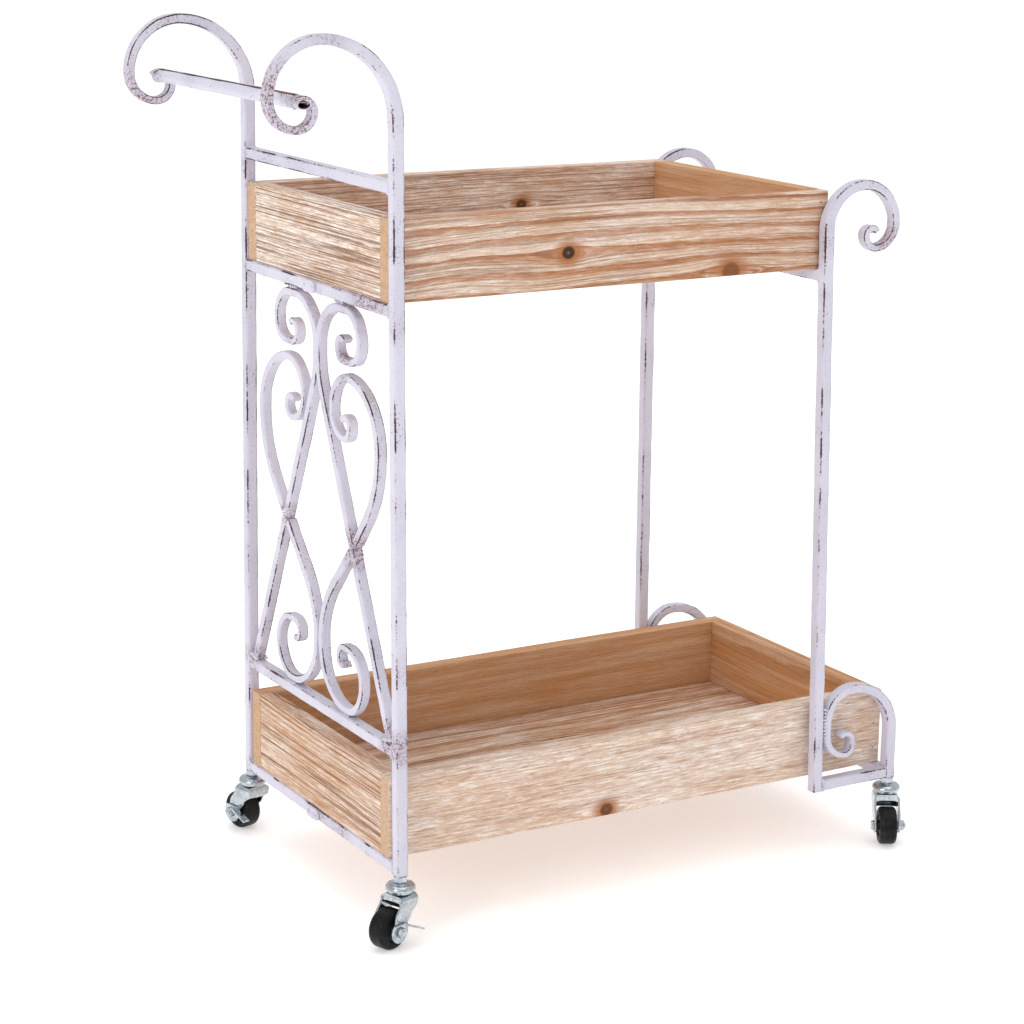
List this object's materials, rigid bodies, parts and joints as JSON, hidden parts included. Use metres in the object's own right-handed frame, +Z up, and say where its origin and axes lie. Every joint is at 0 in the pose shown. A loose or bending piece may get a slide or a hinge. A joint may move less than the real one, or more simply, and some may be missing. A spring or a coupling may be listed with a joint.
{
  "type": "plant trolley",
  "caption": "Plant trolley with a welded square-bar frame, scrolled handle posts and feet, a scrollwork side panel, wooden trays and swivel casters with brake levers.",
  "frame": {"origin": "centre of the base of the bounding box, on the floor under the wheels", "axes": "+X along the trolley away from the handle, +Y across it to the back, +Z up"},
  "size_m": [0.7294, 0.4103, 0.8604],
  "materials": {
    "frame_paint": "worn satin lavender-white paint with dark plum edges",
    "pine": "brushed softwood with whitewash streaks",
    "zinc": "bright zinc-plated pressed steel",
    "screw_steel": "dark dull screw steel",
    "wheel_plastic": "black moulded plastic",
    "wheel_rubber": "black rubber tread"
  },
  "bodies": {
    "frame": {"handle_post_front": "frame_paint", "handle_post_back": "frame_paint", "handle_tube": "frame_paint", "grip_rail": "frame_paint", "upper_tray_rail_left": "frame_paint", "panel_bottom_rail": "frame_paint", "base_rail_left": "frame_paint", "screw_tabs": "frame_paint", "panel_scroll_front": "frame_paint", "panel_scroll_back": "frame_paint", "panel_drop_upper_front": "frame_paint", "panel_drop_upper_back": "frame_paint", "panel_drop_lower_front": "frame_paint", "panel_drop_lower_back": "frame_paint", "end_post_front": "frame_paint", "end_post_back": "frame_paint", "outrigger_front": "frame_paint", "outrigger_back": "frame_paint", "upper_tray_rail_right": "frame_paint", "base_rail_right": "frame_paint", "tray_screws": "screw_steel", "upper_front_board": "pine", "upper_back_board": "pine", "upper_left_board": "pine", "upper_right_board": "pine", "upper_plank_1": "pine", "upper_plank_2": "pine", "upper_plank_3": "pine", "lower_front_board": "pine", "lower_back_board": "pine", "lower_left_board": "pine", "lower_right_board": "pine", "lower_plank_1": "pine", "lower_plank_2": "pine", "lower_plank_3": "pine", "caster_stems": "zinc", "caster_nuts": "zinc", "cup_fl": "zinc", "cup_bl": "zinc", "cup_fr": "zinc", "cup_br": "zinc"},
    "swivel_fl": {"fork_fl": "zinc", "axle_fl": "zinc"},
    "wheel_fl": {"wheel_core_fl": "wheel_plastic", "tyre_fl": "wheel_rubber"},
    "swivel_bl": {"fork_bl": "zinc", "axle_bl": "zinc"},
    "wheel_bl": {"wheel_core_bl": "wheel_plastic", "tyre_bl": "wheel_rubber"},
    "swivel_fr": {"fork_fr": "zinc", "axle_fr": "zinc"},
    "wheel_fr": {"wheel_core_fr": "wheel_plastic", "tyre_fr": "wheel_rubber"},
    "swivel_br": {"fork_br": "zinc", "axle_br": "zinc"},
    "wheel_br": {"wheel_core_br": "wheel_plastic", "tyre_br": "wheel_rubber"},
    "lever_fl": {"brake_fl": "zinc"},
    "lever_bl": {"brake_bl": "zinc"}
  },
  "joints": [
    {"name": "swivel_turn_fl", "type": "hinge", "parent": "frame", "child": "swivel_fl", "pos_m": [-0.2335, -0.169, 0.052], "axis": [0, 0, 1], "continuous": true},
    {"name": "wheel_spin_fl", "type": "hinge", "parent": "swivel_fl", "child": "wheel_fl", "pos_m": [-0.24948, -0.17481, 0.02], "axis": [0.342, -0.9397, 0], "continuous": true},
    {"name": "lever_turn_fl", "type": "hinge", "parent": "swivel_fl", "child": "lever_fl", "pos_m": [-0.24948, -0.17481, 0.02], "axis": [0.342, -0.9397, 0], "range_deg": [0, 25]},
    {"name": "swivel_turn_bl", "type": "hinge", "parent": "frame", "child": "swivel_bl", "pos_m": [-0.2335, 0.169, 0.052], "axis": [0, 0, 1], "continuous": true},
    {"name": "wheel_spin_bl", "type": "hinge", "parent": "swivel_bl", "child": "wheel_bl", "pos_m": [-0.2379, 0.18542, 0.02], "axis": [-0.9659, -0.2588, 0], "continuous": true},
    {"name": "lever_turn_bl", "type": "hinge", "parent": "swivel_bl", "child": "lever_bl", "pos_m": [-0.2379, 0.18542, 0.02], "axis": [-0.9659, -0.2588, 0], "range_deg": [0, 25]},
    {"name": "swivel_turn_fr", "type": "hinge", "parent": "frame", "child": "swivel_fr", "pos_m": [0.3485, -0.169, 0.052], "axis": [0, 0, 1], "continuous": true},
    {"name": "wheel_spin_fr", "type": "hinge", "parent": "swivel_fr", "child": "wheel_fr", "pos_m": [0.34, -0.18372, 0.02], "axis": [0.866, -0.5, 0], "continuous": true},
    {"name": "swivel_turn_br", "type": "hinge", "parent": "frame", "child": "swivel_br", "pos_m": [0.3485, 0.169, 0.052], "axis": [0, 0, 1], "continuous": true},
    {"name": "wheel_spin_br", "type": "hinge", "parent": "swivel_br", "child": "wheel_br", "pos_m": [0.33378, 0.1775, 0.02], "axis": [-0.5, -0.866, 0], "continuous": true}
  ]
}
